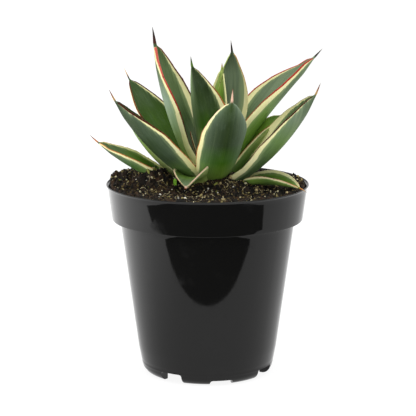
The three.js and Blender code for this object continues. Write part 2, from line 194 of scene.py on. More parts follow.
LOOKS = {
    "bud": dict(
        inner="pine forest forest fresh lime", outer="forest forest forest leaf lime",
        edges="cream cream lime, cream cream lime", spine="lime tan grey",
        bands="3.6 3.4 3 2.8 2.2 .6, 5 5 5 4.5 2.5 .5, 3 3 3 3 2 .6, 4 4 4 3.5 2 .5", lines=".2, .2",
    ),
    "centre_left": dict(
        outer="fresh lime fern slate deep deep", edges="brown orange orange orange brown dark, frost frost moss",
        spine="leaf slate dark", bands="4 4 3 2 1 .1, 0, 4.6 4.4 4 3.3 1.1 .1, 0", lines=".8 .8 .9 1.1 .9 .4, .1",
        flank_sheen=(0.0, 1.8, 0, 0), rim="dew",
    ),
    "centre_back": dict(
        inner="forest moss sage sage sage deep", edges="lime, cream cream cream tan tan", spine="dark dark grey",
        bands="0, 5 5 5 3.4 1 .2, 0, 4 4 4 3 1 .2", lines=".9 .9 .9 1.1 1.2 .2, .2 .2 .2 .3 .6 1", veil=4.0,
        flank_sheen=(0.3, 0.3, 0, 0.6), swell="0 0 0 0 0 0 .5 3 .3, 0", slim=0.8,
    ),
    "tallest": dict(
        inner="leaf sage slate moss moss slate", outer="fresh lime dew frost slate slate",
        edges="sage maroon maroon red coral coral, brown maroon brown", spine="maroon dark dark",
        bands="3 3 2 1.5 1 .2, 5 5 4.6 3.6 1.4 .3, 4.2 3.8 3.4 2 1.2 .4, 4 3.6 3 2 1 .3",
        lines=".2 .3 .6 .9 1 .8, .8 .9 1.2 1.4 1.4 1.2", teeth=(7.0, 0.35), veil=2.0, flank_sheen=(0.1, 0.3, 0, 0),
        hook=-0.8, slim=1.3, swell="0 0 -1 1 2.2 .4 -2 -3.2 -.5, 0 0 0 0 0 .4 .4 .7 0",
    ),
    "right_high": dict(
        inner="leaf sage moss sage sage sage", outer="forest fresh fresh moss moss moss",
        edges="orange orange orange red red red, tan orange brown red red red", spine="dark dark grey",
        bands="6 5.6 5.2 2.2 .8 0, 2 2 1.5 1 .5 0, 3 3 2.6 2 1 .2, 3.4 3.4 3.4 2.4 1.2 .1",
        lines=".8 .9 1 1.2 1.2 .9, .3 .4 .6 .9 1 .7", slim=0.8,
        swell="2 2 2.5 3.2 3.2 2.4 .6 -1.2 0, 2 2 3 3.1 2.3 1 1.4 2.5 0",
    ),
    "front_bent": dict(
        inner="leaf leaf leaf leaf moss sage", outer="leaf lime fresh lime fresh leaf",
        edges="pink, cream cream pink brown", spine="pink brown brown",
        bands="1.8 2.4 3 1.6 1 .5, 2 2 1.8 1.5 1 .4, 1.4 2 2.6 1.4 .8 .4, 1 1 1 1 .8 .4", lines=".4, .3", veil=1.2,
    ),
    "front": dict(
        outer="leaf fresh fern deep deep slate", edges="frost, pink orange orange orange pink pink",
        spine="pink pink brown", bands="3 3 2 1 1 .5, 3 3 3 3 1.6 .5, 0, 3 3.1 3.1 3 1.6 .5",
        lines=".1, .6 .8 .9 .8 .6 .6", flank_sheen=(0.6, 0.35, 0, 0), veil=1.2,
        swell="0 0 .5 1 .8 .6 .7 .6 0, 1 1 1.3 2.2 2.2 1.4 .1 .8 0",
    ),
    "left_high": dict(
        inner="forest forest forest forest slate slate", outer="dew dew frost frost frost",
        edges="orange maroon maroon brown maroon, brown brown brown maroon maroon", spine="dark tan tan",
        bands="1 1 1 .8 .5 .1, 2.4 2.2 2 1.6 1.2 .5, 5 4.5 4.2 4 3.2 1, 2 2 1.6 1 .6 .2", lines=".9, 1", slim=0.55,
    ),
    "left_mid": dict(
        outer="pine leaf night night deep deep",
        edges="orange orange orange brown maroon maroon, maroon maroon dark dark maroon", spine="tan brown dark",
        bands="1 1 .8 .5 .3 .1, 2.6 2 1.2 .6 .3 .1, 4.3 3.9 2.7 1.6 .9 .2, 3 3 2 1.5 1 .3",
        lines=".4 .5 .6 .9 1.2 1, .6 .7 .8 .9 1 .8", teeth=(6.0, 0.5), slim=0.7, swell="0 0 0 .2 .7 1 .3 -1 0, 0",
    ),
    "right_mid": dict(
        inner="slate slate moss moss slate", outer="pine pine forest leaf sage slate",
        edges="tan orange orange brown maroon maroon, moss moss brown maroon maroon maroon", spine="tan brown grey",
        bands="3.4 4.5 6 3.8 1.6 .4, 3 3 2.5 2 1 .3, 3 3 3 2 1 .3, 2.6 3.2 3.6 1.6 .7 .2",
        lines=".4 .4 .4 .5 .5 .5, 0 0 .35 .8 .9 .6", veil=2.2, slim=0.75,
        swell="1 1.5 .4 .5 2 1.8 1.7 1.4 0, 0 0 -1 .2 2.1 1.7 2 .8 0",
    ),
    "right_behind": dict(
        inner="leaf fresh fresh fresh moss", outer="leaf fresh lime fresh", edges="tan tan tan brown, brown",
        bands=", ".join(["1 1 1 .8 .6 .2"] * 4), lines=".3, .4",
        swell="0 0 1 1.5 1.5 1.5 1.5 1.8 0, 0",
    ),
    "left_behind": dict(outer="fresh lime lime fresh dew", inner="leaf fresh leaf"),
    "left_low": dict(
        inner="forest fern fern leaf moss moss", outer="forest lime fresh fern slate deep",
        edges="ivory ivory orange orange orange, cream pink pink orange orange", spine="orange brown grey",
        bands="1.5 1.4 1.2 1 .8 .3, 2.5 2.3 1.9 1.6 1.2 .5, 3 2.7 2 1.5 1.2 .6, 2 2 1.8 1.4 1 .4",
        lines=".3 .3 .4 .5 .5 .5, .3 .3 .3 .3 .4 .4", teeth=(5.0, 0.5), tooth="brown", slim=0.6,
        swell="0 0 0 0 -.5 -1.1 -1.8 -2.5 0, 0 0 0 -1 .2 0 -.8 -.8 0",
    ),
    "right_low": dict(
        inner="forest fern fern leaf leaf leaf", outer="pine leaf fresh leaf fresh leaf",
        edges="ivory ivory ivory ivory orange, pink tan pink orange", spine="orange tan brown",
        bands="2.2 2.2 2.2 2.2 2 1.2, .9 .9 .8 .7 .7 .4, 2 2 2 2 1.5 .8, .8 .8 .8 .8 .8 .5", lines=".2, .3 .3 .3 .4",
        teeth=(5.0, 0.45), tooth="brown", flank_sheen=(0.1, 0.1, 0, 0), hook=-1.8, slim=0.5,
    ),
}

# Loose pieces in the soil that can be told apart: kind, x, y and size across
PEBBLES = (
    ("stone", 17.4, -22.6, 4.2), ("stone", 35.8, -33.0, 3.4), ("stone", 11.1, -62.0, 3.4),
    ("stone", 58.0, -42.6, 2.4), ("stone", 68.4, 17.4, 3.4), ("stone", 70.8, 6.8, 2.2), ("stone", -50.4, 7.0, 3.2),
    ("perlite", -34.6, -41.3, 2.4), ("perlite", -16.0, -64.9, 2.2), ("perlite", -26.1, -33.1, 1.4),
    ("litter", 6.2, -31.8, 3.0), ("litter", -43.6, -16.9, 4.0), ("litter", -39.2, -18.6, 4.4),
    ("litter", -65.2, -9.7, 2.4), ("shoot", -24.0, -22.0, 6.2),
)


def linear(colour):
    """sRGB numbers from 0 to 255 as linear light.

    The standard curve, c / 12.92 when dark, else ((c + .055) / 1.055) ^ 2.4.
    """
    c = np.asarray(colour, float) / 255
    return np.where(c <= 0.04045, c / 12.92, ((c + 0.055) / 1.055) ** 2.4)


def eased(x, low, high):
    """0 below low, 1 above high, and 3 t^2 - 2 t^3 between."""
    t = np.clip((x - low) / (high - low), 0, 1)
    return t * t * (3 - 2 * t)


def stops(values, t):
    """Straight from value to value, spaced evenly from the first at 0 to the last at 1, for numbers or colours."""
    values = np.asarray(values, float)
    places = np.linspace(0, 1, len(values))
    if values.ndim == 1:
        return np.interp(t, places, values)
    return np.stack([np.interp(t, places, channel) for channel in values.T], -1)


def noise_number(x, y, seed):
    """A fixed number from 0 to 1 for each whole x and y: the fraction of a large multiple of a sine."""
    value = np.sin(x * 127.1 + y * 311.7 + seed * 74.7) * 43758.5453
    return value - np.floor(value)


def rows_along(text, t):
    """A column of numbers along t for each list in a text, where commas part the lists and spaces their numbers."""
    return np.stack([stops([float(word) for word in row.split()], t) for row in text.split(",")], 1)


def round_axis(radius, angle, z, centre=(0, 0)):
    """Points at a radius and an angle round an upright axis."""
    x, y = centre[0] + radius * np.cos(angle), centre[1] + radius * np.sin(angle)
    return np.stack([x, y, z + 0 * x], -1)


def cells(x, y, size, seed):
    """Distance to the nearest of points scattered one to each square of a grid, and that point's own number."""
    nearest = np.full(np.shape(x), np.inf)
    own = np.zeros(np.shape(x))
    for step_x in (-1, 0, 1):
        for step_y in (-1, 0, 1):
            column = np.floor(x / size) + step_x
            row = np.floor(y / size) + step_y
            there_x = (column + noise_number(column, row, seed)) * size
            there_y = (row + noise_number(column, row, seed + 1)) * size
            away = np.hypot(there_x - x, there_y - y)
            own = np.where(away < nearest, noise_number(column, row, seed + 2), own)
            nearest = np.minimum(nearest, away)
    return nearest, own


# Meshes


def grid_faces(rows, columns):
    """Four-cornered faces between neighbours on a grid that is closed round its columns and numbered row by row."""
    first = np.arange(rows - 1)[:, None] * columns
    here = np.arange(columns)
    beside = (here + 1) % columns
    corners = (first + here, first + beside, first + columns + beside, first + columns + here)
    return np.stack(corners, -1).reshape(-1, 4)


def write_mesh(name, points, face_sets):
    """A mesh from points in millimetres and arrays of faces, each array with one number of corners."""
    mesh = bpy.data.meshes.new(name)
    mesh.from_pydata((np.asarray(points) * MM).tolist(), [], [face for faces in face_sets for face in faces.tolist()])
    mesh.validate()
    return mesh


def write_attribute(mesh, name, values):
    """Values for each point of a mesh: numbers, vectors, or opaque colours where the name ends in paint."""
    values = np.asarray(values, np.float32)
    kind, key = ("FLOAT", "value") if values.ndim == 1 else ("FLOAT_VECTOR", "vector")
    if name.endswith("paint"):
        kind, key = "FLOAT_COLOR", "color"
        values = np.pad(values, ((0, 0), (0, 1)), constant_values=1)
    mesh.attributes.new(name, kind, "POINT").data.foreach_set(key, values.ravel())


def weld(mesh, distance, turn_outwards=False):
    """Makes points that lie together one, and turns a closed mesh's faces outwards if asked."""
    work = bmesh.new()
    work.from_mesh(mesh)
    bmesh.ops.remove_doubles(work, verts=work.verts, dist=distance * MM)
    if turn_outwards:
        bmesh.ops.recalc_face_normals(work, faces=work.faces)
    work.to_mesh(mesh)
    work.free()


def add_piece(name, mesh, material, node=None, crease=40.0):
    """Puts a mesh in the scene as a piece of the object, smooth but for edges sharper than crease, in degrees."""
    mesh.materials.append(material)
    mesh.shade_smooth()
    mesh.set_sharp_from_angle(angle=math.radians(crease))
    piece = bpy.data.objects.new(name, mesh)
    bpy.context.scene.collection.objects.link(piece)
    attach(piece, "root")
    if node:
        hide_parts(node)


def arc(centre, radius, start, end, count):
    """Points on a circle of a section, from one angle to another in degrees."""
    turn = np.radians(np.linspace(start, end, count))
    return np.stack([centre[0] + radius * np.cos(turn), centre[1] + radius * np.sin(turn)], 1)


def straight(start, end, count):
    """Points evenly along a line of a section, without its last one."""
    return np.linspace(start, end, count, endpoint=False)


# Materials


class Shader:
    """A material's nodes. Each method adds one node and gives back the socket that the next one takes."""

    def __init__(self, name):
        self.material = bpy.data.materials.new(name)
        self.material.use_nodes = True
        self.tree = self.material.node_tree
        self.tree.nodes.clear()

    def node(self, kind, inputs, output=0, **settings):
        made = self.tree.nodes.new(kind)
        for key, value in settings.items():
            setattr(made, key, value)
        for key, value in inputs.items():
            socket = made.inputs[key]
            if isinstance(value, bpy.types.NodeSocket):
                self.tree.links.new(value, socket)
            elif hasattr(value, "__len__") and len(value) == 3 and len(socket.default_value) == 4:
                socket.default_value = (*value, 1)
            else:
                socket.default_value = value
        return made.outputs[output] if made.outputs else None

    def math(self, operation, a, b):
        return self.node("ShaderNodeMath", {0: a, 1: b}, operation=operation)

    def ramp(self, value, low, high, to_low=0.0, to_high=1.0):
        inputs = {"Value": value, "From Min": low, "From Max": high, "To Min": to_low, "To Max": to_high}
        return self.node("ShaderNodeMapRange", inputs, interpolation_type="SMOOTHSTEP", clamp=True)

    def mix(self, share, a, b, blend="MIX"):
        inputs = {0: share, 6: a, 7: b}
        return self.node("ShaderNodeMix", inputs, 2, data_type="RGBA", blend_type=blend, clamp_factor=True)

    def stretched(self, vector, scale):
        return self.node("ShaderNodeMapping", {"Vector": vector, "Scale": scale})

    def noise(self, vector, scale, detail=2.0, roughness=0.5):
        inputs = {"Vector": vector, "Scale": scale, "Detail": detail, "Roughness": roughness}
        return self.node("ShaderNodeTexNoise", inputs)

    def spots(self, vector, scale):
        return self.node("ShaderNodeTexVoronoi", {"Vector": vector, "Scale": scale}, "Distance")

    def read(self, name, output="Fac"):
        return self.node("ShaderNodeAttribute", {}, output, attribute_name=name)

    def place(self):
        return self.node("ShaderNodeTexCoord", {}, "Object")

    def bump(self, height, strength, distance, normal=None):
        inputs = {"Height": height, "Strength": strength, "Distance": distance}
        if normal:
            inputs["Normal"] = normal
        return self.node("ShaderNodeBump", inputs)

    def surface(self, **inputs):
        named = {key.replace("_", " "): value for key, value in inputs.items()}
        shader = self.node("ShaderNodeBsdfPrincipled", named)
        self.node("ShaderNodeOutputMaterial", {"Surface": shader})
        return self.material


def pot_plastic(settings):
    """Glossy black moulded plastic with a slight unevenness, faint rubbed patches and fine dust."""
    s = Shader("pot_plastic")
    place = s.place()
    waves = s.noise(s.stretched(place, (1, 1, 0.35)), 26, 2)
    rubbed = s.ramp(s.noise(place, 60, 5, 0.6), 0.52, 0.74)
    streaks = s.noise(s.stretched(place, (1, 1, 0.06)), 420, 3)
    dust = s.ramp(s.spots(place, 900), 0.02, 0.09, 1, 0)
    dusty = s.math("MULTIPLY", dust, s.ramp(s.noise(place, 45, 2), 0.55, 0.7))
    colour = s.mix(s.math("MULTIPLY", rubbed, 0.25), settings.colour, (0.012, 0.012, 0.0115))
    colour = s.mix(s.math("MULTIPLY", dusty, 0.35), colour, (0.16, 0.15, 0.13))
    gloss = s.math("ADD", s.ramp(streaks, 0.3, 0.7, 0.0, 0.03), s.ramp(rubbed, 0, 1, settings.roughness, 0.19))
    normal = s.bump(waves, 0.25, 0.0006)
    normal = s.bump(streaks, 0.05, 0.0002, normal)
    return s.surface(Base_Color=colour, Roughness=gloss, IOR=1.345, Normal=normal)


def leaf_skin(settings):
    """Waxy leaf skin.

    The points carry the ground colour with a painted sheen along the flanks, the edge's colour and signed distances to
    the borders of the cream band, the pale veil beside it and the coloured edge; this adds lengthwise veins, bloom,
    specks and ragged borders.
    """
    s = Shader("leaf_skin")
    grain = s.read("grain", "Vector")
    ground_and_sheen = s.read("ground_and_sheen_paint", "Color")
    edge = s.read("edge_paint", "Color")
    band, veil, line, horn = (s.read(name) for name in ("band", "veil", "line", "horn"))
    fine = s.noise(s.stretched(grain, (2.6, 0.05, 1)), 1.0, 3, 0.6)
    broad = s.noise(s.stretched(grain, (0.55, 0.018, 1)), 1.0, 2)
    patches = s.noise(s.stretched(grain, (0.16, 0.07, 1)), 1.0, 4, 0.6)
    frost = s.noise(s.stretched(grain, (3.0, 2.2, 1)), 1.0, 2)
    specks = s.ramp(s.spots(s.stretched(grain, (1.1, 0.55, 1)), 1.0), 0.07, 0.16, 1, 0)
    # Green: darker and lighter veins, then a blue-grey bloom in patches
    green = s.mix(s.ramp(fine, 0.3, 0.7, 0.0, 0.5), ground_and_sheen, (0.56, 0.6, 0.5), "MULTIPLY")
    green = s.mix(s.ramp(broad, 0.4, 0.75, 0.0, 0.3), green, (1.8, 1.65, 1.5), "MULTIPLY")
    bloom = s.math("MULTIPLY", s.ramp(patches, 0.4, 0.75, 0.0, 0.08), s.ramp(frost, 0.3, 0.7, 0.5, 1.0))
    green = s.mix(bloom, green, settings.bloom)
    green = s.mix(s.math("MULTIPLY", specks, 0.15), green, (0.36, 0.43, 0.28))
    # Veil and cream, whose borders wander a little along the veins
    wander = s.ramp(broad, 0.3, 0.7, -0.3, 0.3)
    ragged = s.math("ADD", wander, s.ramp(fine, 0.3, 0.7, -0.3, 0.3))
    in_veil = s.ramp(s.math("ADD", veil, s.math("MULTIPLY", ragged, 2.0)), -1.0, 2.4, 0.0, 0.6)
    green = s.mix(in_veil, green, settings.veil)
    cream = s.mix(s.ramp(fine, 0.35, 0.7, 0.0, 0.35), settings.cream, (0.66, 0.64, 0.32))
    cream = s.mix(s.ramp(patches, 0.4, 0.7, 0.0, 0.3), cream, (0.85, 0.83, 0.6))
    in_band = s.ramp(s.math("ADD", band, s.math("MULTIPLY", ragged, 0.6)), -0.25, 0.35)
    skin = s.mix(in_band, green, cream)
    in_line = s.ramp(s.math("ADD", line, s.ramp(frost, 0.3, 0.7, -0.12, 0.12)), -0.18, 0.14)
    fringe = s.ramp(line, -0.7, 0.2, 0.0, 0.3)
    skin = s.mix(fringe, skin, s.mix(0.5, edge, skin))
    skin = s.mix(in_line, skin, s.mix(s.ramp(frost, 0.35, 0.65, 0.0, 0.25), edge, (0.02, 0.01, 0.008)))
    rough = s.ramp(horn, 0, 1, 0.5, 0.34)
    rough = s.math("ADD", rough, s.ramp(fine, 0.3, 0.7, -0.05, 0.05))
    ribs = s.math("ADD", s.math("MULTIPLY", fine, 0.7), s.math("MULTIPLY", broad, 0.5))
    normal = s.bump(ribs, 0.22, 0.0005)
    return s.surface(
        Base_Color=skin,
        Roughness=rough,
        IOR=1.4,
        Specular_IOR_Level=0.07,
        Sheen_Weight=0.05,
        Sheen_Roughness=0.3,
        Sheen_Tint=(0.85, 0.93, 0.88, 1),
        Normal=normal,
    )


def grit(name, roughness, speckle, bump):
    """Rough crumbly matter in the colour that its points carry, speckled darker and lighter at the size of a grain."""
    s = Shader(name)
    place = s.place()
    paint = s.read("paint", "Color")
    grains = s.noise(place, 1500, 4, 0.7)
    patches = s.noise(place, 350, 3, 0.6)
    colour = s.mix(s.ramp(grains, 0.5, 0.35, 0.0, speckle), paint, (0.002, 0.0015, 0.001))
    colour = s.mix(s.ramp(grains, 0.62, 0.7, 0.0, speckle * 0.8), colour, (0.3, 0.24, 0.12))
    colour = s.mix(s.ramp(patches, 0.45, 0.7, 0.0, 0.3), colour, (0.006, 0.005, 0.003))
    return s.surface(Base_Color=colour, Roughness=roughness, IOR=1.4, Normal=s.bump(grains, bump, 0.0008))


def stem_tissue():
    """Pale fibrous stem under the leaves, browner in patches."""
    s = Shader("stem_tissue")
    place = s.place()
    strands = s.noise(s.stretched(place, (1, 1, 0.15)), 900, 3)
    patches = s.noise(place, 160, 3)
    colour = s.mix(s.ramp(strands, 0.35, 0.65), linear((168, 172, 112)), linear((120, 112, 66)))
    colour = s.mix(s.ramp(patches, 0.5, 0.7, 0.0, 0.6), colour, linear((96, 66, 40)))
    return s.surface(Base_Color=colour, Roughness=0.7, Normal=s.bump(strands, 0.4, 0.0005))


# Pot


def body_radius(z):
    """The wall's radius.

    Straight from the rounded corner to the band, less a tuck that grows as the square of the way down from TUCK_Z.
    """
    tuck = TUCK * np.clip((TUCK_Z - z) / (TUCK_Z - CORNER_RADIUS), 0, 1) ** 2
    return BODY_FOOT - tuck + (BODY_TOP - BODY_FOOT) / (BAND_FOOT[1] - CORNER_RADIUS) * (z - CORNER_RADIUS)


def band_radius(z):
    """The band's radius, straight from its foot to the lip."""
    top = LIP_RADIUS - LIP_OVERHANG
    return BAND_FOOT[0] + (top - BAND_FOOT[0]) / (POT_HEIGHT - LIP_DEPTH - BAND_FOOT[1]) * (z - BAND_FOOT[1])


def pot_section():
    """Radius and height along the pot's wall.

    Out under the foot, round the corner, up the body, out to the band, out again over the flared lip and down inside
    to the floor.
    """

    def body(z, out=0.0):
        return body_radius(z) + out, z

    def band(z, out=0.0):
        return band_radius(z) + out, z

    foot = BODY_FOOT - CORNER_RADIUS - TUCK
    heel = foot - FOOT_WIDTH
    lip_foot = POT_HEIGHT - LIP_DEPTH
    under = BAND_FOOT[1]
    ridge = CORNER_RADIUS + 0.6
    lip_in = LIP_RADIUS - LIP_WIDTH
    flare = np.linspace(0, 1, 6)
    flare_z = lip_foot + (LIP_DEPTH - 0.5) * flare
    outer_foot, inner_foot = band_radius(lip_foot), band_radius(lip_foot) - WALL
    outer_flare = outer_foot + (LIP_RADIUS - outer_foot) * eased(flare, 0, 1)
    inner_flare = inner_foot + (lip_in - inner_foot) * eased(flare, 0, 1)
    parts = [
        [(FLOOR_RING, FLOOR_Z), (FLOOR_RING + 0.1, FLOOR_Z), (heel - FOOT_DRAFT, FLOOR_Z)],
        straight((heel - FOOT_DRAFT - 0.15, FLOOR_Z - 0.5), (heel - 0.1, 0.5), 3),
        arc((heel + 0.4, 0.5), 0.5, 180, 270, 4),
        straight((heel + 0.9, 0), (foot, 0), 3),
        arc((foot, CORNER_RADIUS), CORNER_RADIUS, -90, CORNER_TURN - 90, 22),
        [(body_radius(ridge) + out, ridge + up) for out, up in ((0.02, -0.4), (0.22, 0), (0.22, 0.5), (0.14, 1.1))],
        straight(body(ridge + 2.5), body(TUCK_Z), 6),
        straight(body(TUCK_Z), body(under), 24),
        arc((body_radius(under) + 0.5, under - 0.5), 0.5, 170, 95, 4),
        arc((BAND_FOOT[0] - 0.4, under + 0.4), 0.4, -90, -8, 6),
        straight(band(under + 1.0), band(lip_foot - 0.4), 8),
        np.stack([outer_flare, flare_z], 1),
        arc((LIP_RADIUS - 0.5, POT_HEIGHT - 0.5), 0.5, 0, 90, 5)[1:],
        arc((lip_in + 0.4, POT_HEIGHT - 0.4), 0.4, 90, 180, 5),
        np.stack([inner_flare, flare_z], 1)[-2::-1],
        straight(band(lip_foot - 0.5, -WALL), (BAND_FOOT[0] - WALL, under + WALL), 5),
        arc((BAND_FOOT[0] - WALL - 0.6, under + WALL + 0.6), 0.6, 0, -90, 3),
        arc((body_radius(under) - WALL + 0.4, under + WALL - 0.4), 0.4, 90, 180, 3),
        straight(body(under, -WALL), body(HEEL_Z, -WALL), 6),
        [body(HEEL_Z, -WALL), (foot, FLOOR_Z + WALL), (FLOOR_RING, FLOOR_Z + WALL)],
    ]
    return np.concatenate([np.asarray(part, float) for part in parts])


def pot_columns(radius):
    """Angle of every column at each radius, and how high the foot is cut away there.

    Columns by a notch keep their distance from its middle, so its walls are parallel, and those between two notches
    share out the angle that is left. The cut is flat with rounded corners.
    """
    angles, cuts = [], []
    gap = np.linspace(0, 1, NOTCH_GAP + 2)[1:-1]
    corner = NOTCH_ROUND * np.sin(np.radians([0, 22, 45, 67, 90]))
    sides = []
    for heading, half, height in NOTCHES:
        rounding = min(NOTCH_ROUND, height - CLEARANCE)
        inside = np.concatenate([[half * 0.3, half * 0.6], half - rounding + corner * rounding / NOTCH_ROUND])
        rise = height - rounding + np.sqrt(np.maximum(rounding**2 - (inside - half + rounding) ** 2, 0))
        rise[:2] = height
        across = np.concatenate([inside - 1e-3 * (inside == half), [half, half + 0.7]])
        rise = np.concatenate([rise, [0, 0]])
        across = np.concatenate([-across[::-1], [0], across])
        sides.append((heading, across, np.concatenate([rise[::-1], [height], rise])))
    for index, (heading, across, rise) in enumerate(sides):
        turn = np.radians(heading)
        here = turn + np.arcsin(across / radius[:, None])
        following = sides[(index + 1) % len(sides)]
        next_turn = np.radians(following[0] + 360 * (index + 1 == len(sides)))
        there = next_turn + np.arcsin(following[1][:1] / radius[:, None])
        angles += [here, here[:, -1:] + (there - here[:, -1:]) * gap]
        cuts += [rise, np.zeros(len(gap))]
    return np.concatenate(angles, 1), np.concatenate(cuts)


def pot_surface():
    """The wall is the section turned round the axis, raised to the cut's height beyond the floor's ring.

    The floor is four quarters, each ruled from its outline to the drain hole's circle, on both sides, and joined
    through the hole.
    """
    section = pot_section()
    angles, cuts = pot_columns(section[:, 0])
    radius, z = (section[:, k, None] + 0 * angles for k in (0, 1))
    outside = np.arange(len(section)) < np.argmax(section[:, 1])
    lifted = outside[:, None] & (radius > FLOOR_RING + 0.01) & (z < cuts)
    z = np.where(lifted, cuts, z)
    points = [round_axis(radius, angles, z).reshape(-1, 3)]
    faces = [grid_faces(*angles.shape)]
    around = angles.shape[1]
    per_notch = around // len(NOTCHES)
    spoke = np.linspace(1, 0, 7)[1:]
    for quarter in range(len(NOTCHES) // 2):
        # From the middle of one low notch to the middle of the next, with a drain hole on the tall one's heading
        first = (2 * quarter + 1) * per_notch + (per_notch - NOTCH_GAP) // 2
        turn = angles[0, np.arange(first, first + 2 * per_notch + 1) % around]
        heading = np.radians(NOTCHES[(2 * quarter + 2) % len(NOTCHES)][0])
        rim = FLOOR_RING * np.stack([np.cos(turn), np.sin(turn)], 1)
        outline = np.concatenate([rim, rim[-1] * spoke[:, None], rim[0] * spoke[-2::-1, None]])
        centre = DRAIN_REACH * np.array([np.cos(heading), np.sin(heading)])
        away = outline - centre
        circle = centre + DRAIN_RADIUS * away / np.linalg.norm(away, axis=1)[:, None]
        shares = np.array([0, 0.35, 0.7, 1, 1, 0.7, 0.35, 0])[:, None, None]
        flat = outline + (circle - outline) * shares
        height = np.repeat([FLOOR_Z, FLOOR_Z + WALL], 4)[:, None, None] + 0 * flat[..., :1]
        faces.append(grid_faces(8, len(outline)) + sum(len(p) for p in points))
        points.append(np.concatenate([flat, height], -1).reshape(-1, 3))
    return np.concatenate(points), faces


# Soil


def bell_height(x, y, middle_x, middle_y, spread_x, spread_y):
    """A bell of height 1: e to the minus half of the squared distance from its middle, in spreads."""
    return np.exp(-(((x - middle_x) / spread_x) ** 2 + ((y - middle_y) / spread_y) ** 2) / 2)


def soil_level(x, y):
    """Height of the soil before its clods.

    A level with low waves, and a rise or hollow that falls off as a bell for each mound.
    """
    z = SOIL_Z + 0.7 * np.sin(0.31 * x + 1.1) * np.cos(0.27 * y - 0.4) + 0.5 * np.sin(0.53 * (x - y))
    for rise, *bell in MOUNDS:
        z = z + rise * bell_height(x, y, *bell)
    rise, inner, outer = WALL_RISE
    return z + rise * eased(np.hypot(x, y), inner, outer)


def soil_height(x, y):
    """Height of the soil's surface: its level, and on it domed clods of four sizes, rougher on the heap at the left."""
    z = soil_level(x, y)
    heap = bell_height(x, y, *HEAP)
    for index, (size, height) in enumerate(CLODS):
        away, own = cells(x + 1.3 * np.sin(y / size), y + 1.3 * np.sin(x / size), size, 10 * index)
        dome = np.sqrt(np.maximum(1 - (away / (0.62 * size)) ** 2, 0)) * (0.4 + 0.9 * own)
        z = z + height * (1 + 0.6 * heap) * (dome - 0.45)
    return z


def soil_surface():
    """The filling.

    Rings of the clodded surface from the middle to the wall, then down the wall and along the floor to the middle.
    """
    clear = WALL + CLEARANCE
    rings = np.concatenate([[0.02], np.linspace(0.45, SOIL_RADIUS, SOIL_RINGS)])
    turn = np.linspace(0, 2 * np.pi, SOIL_SPOKES, endpoint=False)
    x, y = rings[:, None] * np.cos(turn), rings[:, None] * np.sin(turn)
    top = np.stack([x, y, soil_height(x, y)], -1)
    lower = [
        (band_radius(SOIL_Z - 5) - clear, SOIL_Z - 5),
        (BAND_FOOT[0] - clear - CLEARANCE, BAND_FOOT[1] + clear),
        (body_radius(BAND_FOOT[1]) - clear, BAND_FOOT[1] + clear - CLEARANCE),
        (body_radius(HEEL_Z) - clear, HEEL_Z),
        (BODY_FOOT - CORNER_RADIUS - 2, FLOOR_Z + clear),
        (20.0, FLOOR_Z + clear),
        (0.02, FLOOR_Z + clear),
    ]
    down = [round_axis(radius, turn, z) for radius, z in lower]
    points = np.concatenate([top, np.stack(down)])
    own = cells(x, y, CLODS[2][0], 20)[1]
    shade = np.concatenate([own, np.zeros((len(lower), len(turn)))])
    faces = grid_faces(len(points), len(turn))[:, ::-1]
    return points.reshape(-1, 3), faces, shade.ravel()


def turned_by(random, count, tilt):
    """Rotation matrices for lying pieces: any way round, tipped by up to tilt degrees about a level axis.

    A tip about a level axis is a turn that brings the axis to x, the tip about x, and the turn back.
    """
    spin, lean = random.uniform(0, 2 * np.pi, (2, count))
    tip = np.radians(random.uniform(-tilt, tilt, count))
    turned = np.eye(3)
    for a, b, angle in (0, 1, lean), (1, 2, tip), (0, 1, spin - lean):
        step = np.tile(np.eye(3), (count, 1, 1))
        step[:, a, a] = step[:, b, b] = np.cos(angle)
        step[:, b, a] = np.sin(angle)
        step[:, a, b] = -step[:, b, a]
        turned = turned @ step
    return turned


def scattered(random, count, reach=SCATTER_RADIUS):
    """Places spread evenly over a disc: radius as the root of an even draw."""
    radius = reach * np.sqrt(random.uniform(0, 1, count))
    turn = random.uniform(0, 2 * np.pi, count)
    return radius * np.cos(turn), radius * np.sin(turn)


def lump_shape():
    """Twenty-faced ball of radius 1: corners at (0, 1, g) and its turns, where g is the golden ratio."""
    g = (1 + 5**0.5) / 2
    corners = np.array(
        [(-1, g, 0), (1, g, 0), (-1, -g, 0), (1, -g, 0), (0, -1, g), (0, 1, g)]
        + [(0, -1, -g), (0, 1, -g), (g, 0, -1), (g, 0, 1), (-g, 0, -1), (-g, 0, 1)],
        float,
    )
    faces = np.array(
        [(0, 11, 5), (0, 5, 1), (0, 1, 7), (0, 7, 10), (0, 10, 11), (1, 5, 9), (5, 11, 4), (11, 10, 2)]
        + [(10, 7, 6), (7, 1, 8), (3, 9, 4), (3, 4, 2), (3, 2, 6), (3, 6, 8), (3, 8, 9), (4, 9, 5), (2, 4, 11)]
        + [(6, 2, 10), (8, 6, 7), (9, 8, 1)]
    )
    return corners / np.linalg.norm(corners, axis=1)[:, None], [faces]


def chip_shape():
    """Flat chip 2 long: two outlines of eight corners, one over the other, the upper a little smaller."""
    turn = np.arange(8) * np.pi / 4
    outline = np.stack([np.cos(turn), np.sin(turn)], 1)
    low = np.concatenate([outline, -np.ones((8, 1))], 1)
    high = np.concatenate([outline * 0.8, np.ones((8, 1))], 1)
    return np.concatenate([low, high]), [grid_faces(2, 8), np.arange(8, 16)[None], np.arange(7, -1, -1)[None]]


def copies(random, shape, places, sizes, tilt, uneven):
    """One mesh of many copies of a shape.

    Each is stretched to its three half sizes, made uneven at its corners, turned and set at its place.
    """
    corners, face_sets = shape
    count = len(places)
    own = corners * (1 + random.uniform(-uneven, uneven, (count, len(corners), 1))) * sizes[:, None, :]
    points = np.einsum("nij,nkj->nki", turned_by(random, count, tilt), own) + places[:, None, :]
    first = np.arange(count)[:, None, None] * len(corners)
    made = [(f[None] + first).reshape(-1, f.shape[1]) for f in face_sets]
    return points.reshape(-1, 3), made


